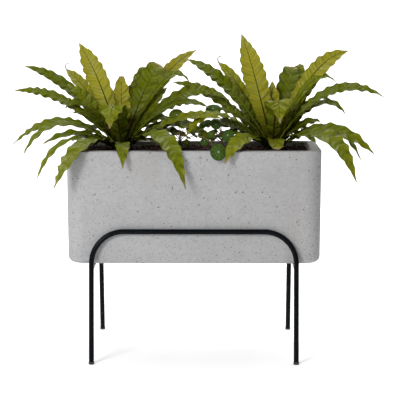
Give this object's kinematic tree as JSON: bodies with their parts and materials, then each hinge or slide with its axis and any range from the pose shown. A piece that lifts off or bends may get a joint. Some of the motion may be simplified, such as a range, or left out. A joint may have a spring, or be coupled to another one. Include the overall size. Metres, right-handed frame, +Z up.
{
  "type": "raised planter on legs",
  "caption": "Raised planter: a cast concrete trough planted with wavy-leaved ferns and round-leaved plants, carried by bent black steel tube leg frames joined by cross rails.",
  "frame": {"origin": "on the floor, midway between the four feet", "axes": "+X along the trough to the viewer's right, +Y from the front to the back, +Z up"},
  "size_m": [1.1996, 0.5018, 1.016],
  "materials": {
    "concrete": "matte",
    "black_steel": "satin",
    "dark_plastic": "matte",
    "rubber": "matte",
    "clay_pebbles": "matte",
    "filter_fleece": "matte",
    "potting_mix": "matte",
    "bark_mulch": "matte",
    "root_mat": "matte",
    "plant_stem": "matte",
    "fern_blade": "satin",
    "pilea_leaf": "gloss"
  },
  "bodies": {
    "stand": {"left_cross_rail": "black_steel", "right_cross_rail": "black_steel", "front_leg_frame": "black_steel", "front_left_foot_glide": "dark_plastic", "front_left_rail_pad": "rubber", "front_right_foot_glide": "dark_plastic", "front_right_rail_pad": "rubber", "rear_leg_frame": "black_steel", "rear_left_foot_glide": "dark_plastic", "rear_left_rail_pad": "rubber", "rear_right_foot_glide": "dark_plastic", "rear_right_rail_pad": "rubber"},
    "trough": {"trough_shell": "concrete", "drainage_gravel": "clay_pebbles", "filter_fleece": "filter_fleece", "potting_mix": "potting_mix", "bark_mulch": "bark_mulch", "left_fern_root_ball": "root_mat", "left_fern_crown": "plant_stem", "left_fern_upright_fronds": "fern_blade", "left_fern_arching_fronds": "fern_blade", "left_fern_trailing_fronds": "fern_blade", "left_pilea_root_ball": "root_mat", "left_pilea_stem": "plant_stem", "left_pilea_petioles": "plant_stem", "left_pilea_leaves": "pilea_leaf", "right_fern_root_ball": "root_mat", "right_fern_crown": "plant_stem", "right_fern_upright_fronds": "fern_blade", "right_fern_arching_fronds": "fern_blade", "right_fern_trailing_fronds": "fern_blade", "right_pilea_root_ball": "root_mat", "right_pilea_stem": "plant_stem", "right_pilea_petioles": "plant_stem", "right_pilea_leaves": "pilea_leaf"},
    "left_plug": {"left_drain_plug": "rubber"},
    "right_plug": {"right_drain_plug": "rubber"}
  },
  "joints": [
    {"name": "trough_lift", "type": "slide", "parent": "stand", "child": "trough", "axis": [0, 0, 1], "range_m": [0, 0.15]},
    {"name": "left_plug_pull", "type": "slide", "parent": "trough", "child": "left_plug", "axis": [0, 0, -1], "range_m": [0, 0.04]},
    {"name": "right_plug_pull", "type": "slide", "parent": "trough", "child": "right_plug", "axis": [0, 0, -1], "range_m": [0, 0.04]}
  ]
}
